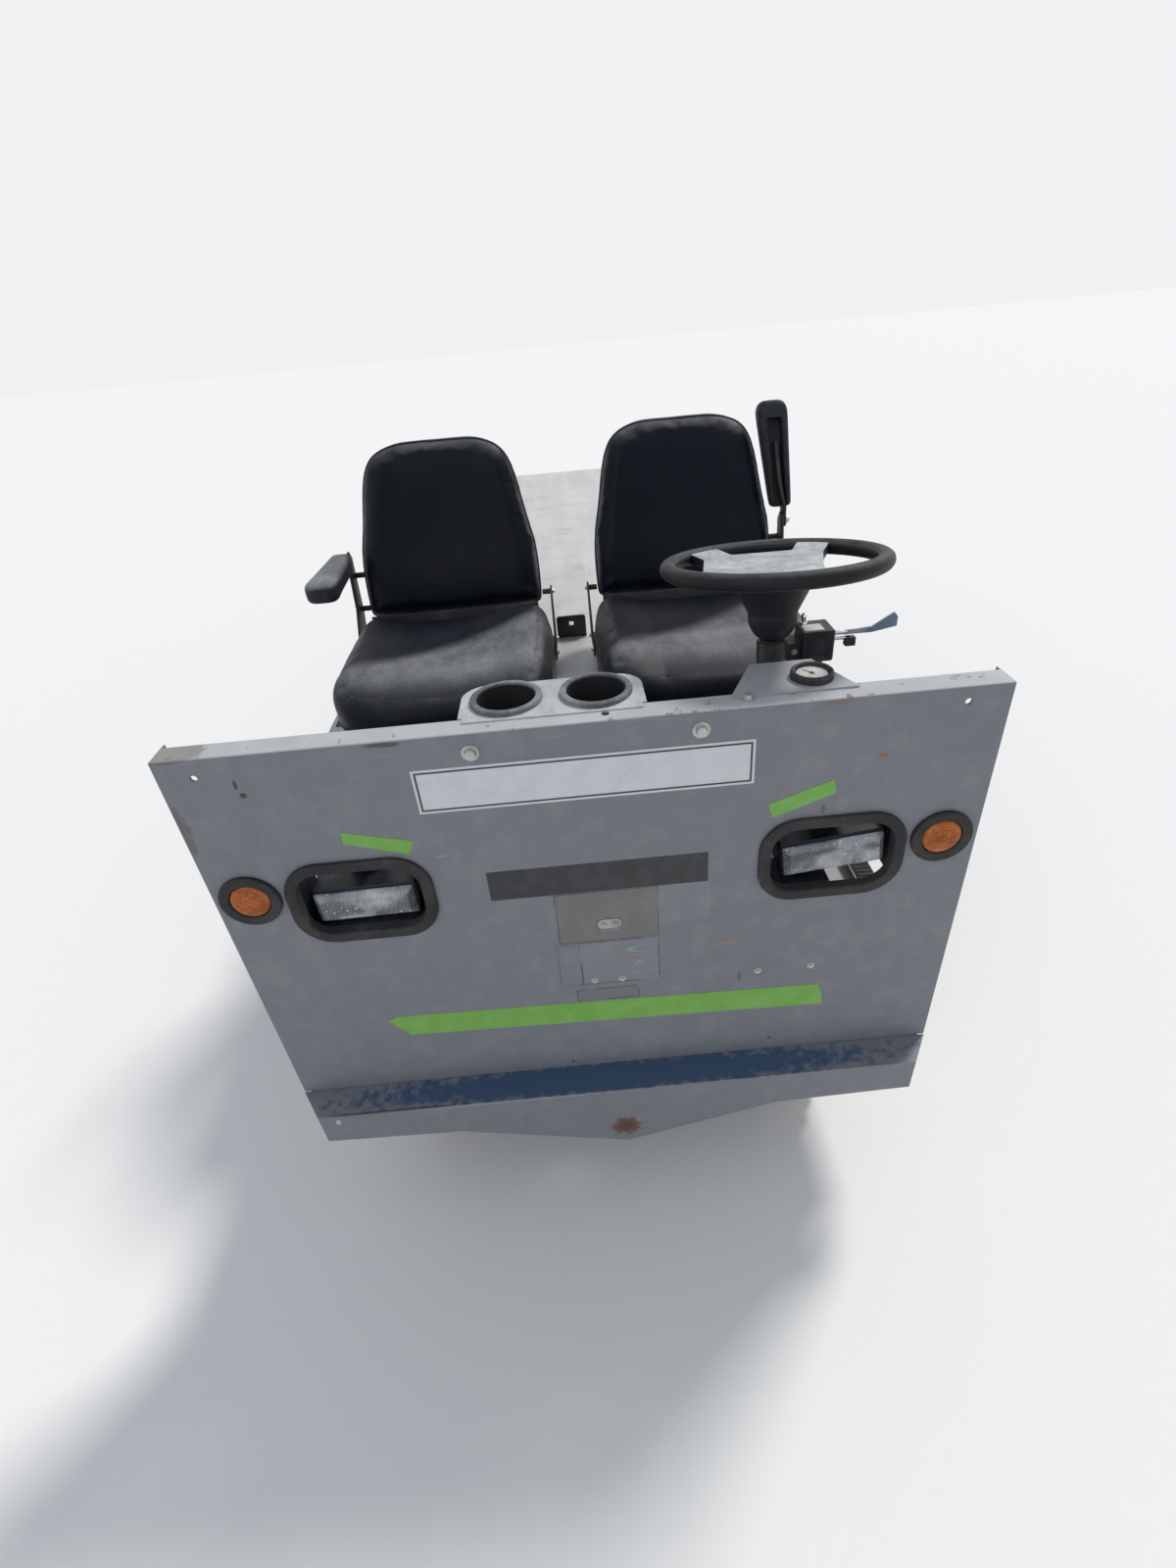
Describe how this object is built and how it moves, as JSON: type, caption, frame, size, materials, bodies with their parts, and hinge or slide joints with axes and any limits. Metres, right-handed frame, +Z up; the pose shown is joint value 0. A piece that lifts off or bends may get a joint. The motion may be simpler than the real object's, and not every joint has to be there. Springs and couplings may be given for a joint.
{
  "type": "electric utility vehicle",
  "caption": "Open flatbed electric utility vehicle: flat front panel, side-by-side bucket seats on a hinged battery lid, steering wheel and a flat cargo deck behind.",
  "frame": {"origin": "on the ground, under the middle of the overall box", "axes": "+Z up, the front of the vehicle faces -Y, +X is the driver's left"},
  "size_m": [1.196, 3.556, 1.3476],
  "materials": {
    "grey_paint": "worn satin paint with scuffs and rust at the edges",
    "black_frame": "dusty satin black",
    "worn_steel": "worn, scratched sheet",
    "black_vinyl": "dusty, worn vinyl",
    "black_plastic": "dusty moulded plastic",
    "grip_rubber": "dull rubber",
    "cream_tyre": "non-marking cream rubber, soiled",
    "rim_white": "dirty white paint",
    "amber_plastic": "clear amber",
    "red_plastic": "clear red",
    "lamp_glass": "clear lamp glass over a bright reflector in a black case",
    "battery_case": "dusty plastic",
    "spring_steel": "dark steel",
    "cast_metal": "dark casting",
    "motor_paint": "black enamel"
  },
  "bodies": {
    "chassis": {"front_panel": "grey_paint", "front_bumper": "grey_paint", "frame_rails": "black_frame", "cross_members": "black_frame", "floor_plate": "grey_paint", "side_sills": "grey_paint", "step_treads": "grip_rubber", "box_front": "grey_paint", "battery_pack": "battery_case", "side_skirts": "grey_paint", "cargo_deck": "worn_steel", "deck_bearers": "black_frame", "bearer_posts": "black_frame", "rear_apron": "grey_paint", "front_springs": "spring_steel", "rear_springs": "spring_steel", "front_axle": "cast_metal", "rear_axle": "cast_metal", "drive_motor": "motor_paint", "steering_gear": "cast_metal", "column_tube": "black_plastic", "direction_switch": "black_plastic", "cup_console": "black_plastic", "dash_plate": "black_plastic", "lamp_bezels": "grip_rubber", "headlamps": "lamp_glass", "amber_lenses": "amber_plastic", "tail_lamps": "red_plastic", "tow_hitch": "black_frame", "pedals": "grip_rubber", "latch_bracket": "black_frame", "lid_hinges": "worn_steel"},
    "seat_lid": {"seat_lid": "grey_paint", "seat_frames": "black_frame", "cushion_left": "black_vinyl", "cushion_right": "black_vinyl", "backrest_left": "black_vinyl", "backrest_right": "black_vinyl"},
    "armrest_left": {"armrest_left": "black_plastic"},
    "armrest_right": {"armrest_right": "black_plastic"},
    "steering_wheel": {"steering_wheel": "black_plastic"},
    "lower_shaft": {"lower_shaft": "spring_steel"},
    "pitman_arm": {"pitman_arm": "cast_metal"},
    "tie_rod": {"tie_rod": "spring_steel"},
    "knuckle_left": {"knuckle_left": "cast_metal"},
    "knuckle_right": {"knuckle_right": "cast_metal"},
    "wheel_front_left": {"rim_front_left": "rim_white", "tyre_front_left": "cream_tyre"},
    "wheel_front_right": {"rim_front_right": "rim_white", "tyre_front_right": "cream_tyre"},
    "wheel_rear_left": {"rim_rear_left": "rim_white", "tyre_rear_left": "cream_tyre"},
    "wheel_rear_right": {"rim_rear_right": "rim_white", "tyre_rear_right": "cream_tyre"}
  },
  "joints": [
    {"name": "steering_turn", "type": "hinge", "parent": "chassis", "child": "steering_wheel", "pos_m": [0.32, -1.47, 1.223], "axis": [0, 0.1495, 0.9888], "range_deg": [-420, 420]},
    {"name": "shaft_turn", "type": "hinge", "parent": "chassis", "child": "lower_shaft", "pos_m": [0.13, -1.45, 0.452], "axis": [0.4956, -0.2296, 0.8376], "range_deg": [-420, 420]},
    {"name": "pitman_swing", "type": "hinge", "parent": "chassis", "child": "pitman_arm", "pos_m": [0.12, -1.42, 0.273], "axis": [0, 0, 1], "range_deg": [-28, 28]},
    {"name": "steer_left", "type": "hinge", "parent": "chassis", "child": "knuckle_left", "pos_m": [0.355, -1.42, 0.23], "axis": [0, 0, 1], "range_deg": [-28, 28]},
    {"name": "steer_right", "type": "hinge", "parent": "chassis", "child": "knuckle_right", "pos_m": [-0.355, -1.42, 0.23], "axis": [0, 0, 1], "range_deg": [-28, 28]},
    {"name": "tie_rod_pivot", "type": "hinge", "parent": "knuckle_left", "child": "tie_rod", "pos_m": [0.355, -1.31, 0.235], "axis": [0, 0, 1], "range_deg": [-28, 28]},
    {"name": "lid_hinge", "type": "hinge", "parent": "chassis", "child": "seat_lid", "pos_m": [0, -0.645, 0.797], "axis": [-1, 0, 0], "range_deg": [0, 55]},
    {"name": "armrest_left_pivot", "type": "hinge", "parent": "seat_lid", "child": "armrest_left", "pos_m": [0.554, -0.69, 1.075], "axis": [-1, 0, 0], "range_deg": [-104, 0]},
    {"name": "armrest_right_pivot", "type": "hinge", "parent": "seat_lid", "child": "armrest_right", "pos_m": [-0.554, -0.69, 1.075], "axis": [-1, 0, 0], "range_deg": [0, 104]},
    {"name": "spin_front_left", "type": "hinge", "parent": "knuckle_left", "child": "wheel_front_left", "pos_m": [0.43, -1.42, 0.23], "axis": [-1, 0, 0], "continuous": true},
    {"name": "spin_front_right", "type": "hinge", "parent": "knuckle_right", "child": "wheel_front_right", "pos_m": [-0.43, -1.42, 0.23], "axis": [-1, 0, 0], "continuous": true},
    {"name": "spin_rear_left", "type": "hinge", "parent": "chassis", "child": "wheel_rear_left", "pos_m": [0.505, 0.73, 0.23], "axis": [-1, 0, 0], "continuous": true},
    {"name": "spin_rear_right", "type": "hinge", "parent": "chassis", "child": "wheel_rear_right", "pos_m": [-0.505, 0.73, 0.23], "axis": [-1, 0, 0], "continuous": true}
  ],
  "couplings": [
    {"joint": "shaft_turn", "follows": "steering_turn", "ratio": 1},
    {"joint": "pitman_swing", "follows": "steering_turn", "ratio": 0.066667},
    {"joint": "steer_left", "follows": "steering_turn", "ratio": 0.066667},
    {"joint": "steer_right", "follows": "steering_turn", "ratio": 0.066667},
    {"joint": "tie_rod_pivot", "follows": "steering_turn", "ratio": -0.066667}
  ]
}
